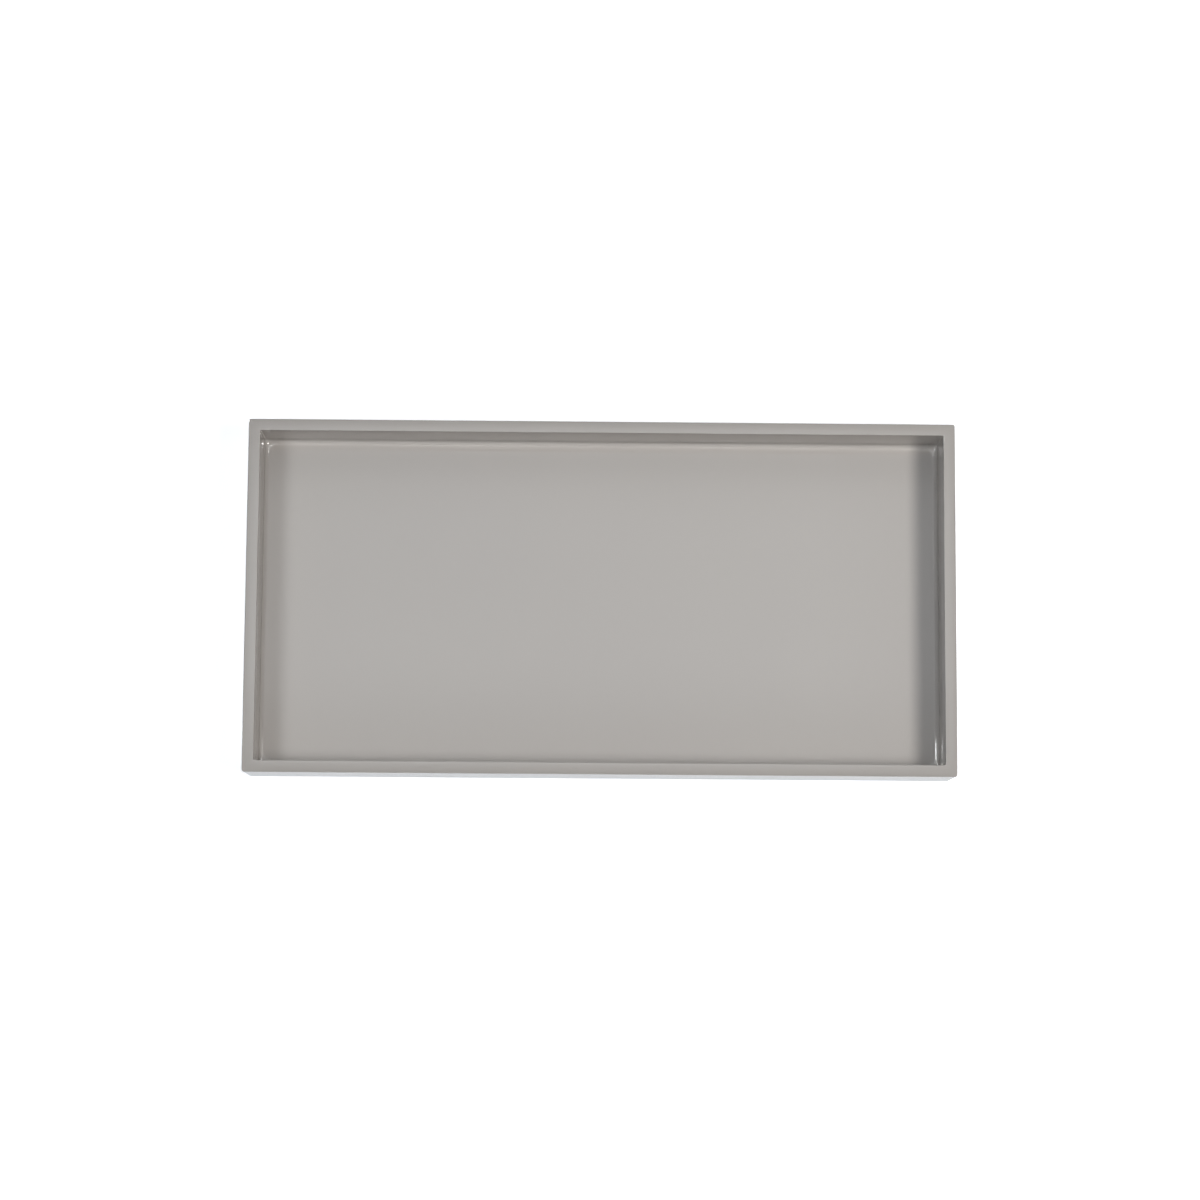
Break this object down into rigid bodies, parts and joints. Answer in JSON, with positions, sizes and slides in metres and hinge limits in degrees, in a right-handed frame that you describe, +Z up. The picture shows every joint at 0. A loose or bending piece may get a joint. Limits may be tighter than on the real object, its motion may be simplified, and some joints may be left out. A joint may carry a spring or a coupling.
{
  "type": "serving tray",
  "caption": "Low rectangular tray with upright walls, square corners and an open flat well, in one unbroken high-gloss lacquer over mitred boards, with felt beneath.",
  "frame": {"origin": "centre of the felt's underside, on the surface that the tray stands on", "axes": "+X along the tray's length to the right, +Y to the back, +Z up out of the well"},
  "size_m": [0.4, 0.2, 0.0395],
  "materials": {
    "lacquer": "greige lacquer, polished to a high gloss",
    "mdf": "bare MDF, sealed under the lacquer",
    "plywood": "thin birch plywood, sawn",
    "steel_pin": "bright drawn steel wire",
    "felt": "pressed wool-blend felt, dark grey-brown"
  },
  "bodies": {
    "root": {"front_wall": "mdf", "back_wall": "mdf", "left_wall": "mdf", "right_wall": "mdf", "base_board": "mdf", "corner_tongue_front_left": "plywood", "corner_tongue_front_right": "plywood", "corner_tongue_back_right": "plywood", "corner_tongue_back_left": "plywood", "base_pin_01": "steel_pin", "base_pin_02": "steel_pin", "base_pin_03": "steel_pin", "base_pin_04": "steel_pin", "base_pin_05": "steel_pin", "base_pin_06": "steel_pin", "base_pin_07": "steel_pin", "base_pin_08": "steel_pin", "base_pin_09": "steel_pin", "base_pin_10": "steel_pin", "base_pin_11": "steel_pin", "base_pin_12": "steel_pin", "lacquer_coat": "lacquer", "felt_underlay": "felt"}
  },
  "joints": []
}
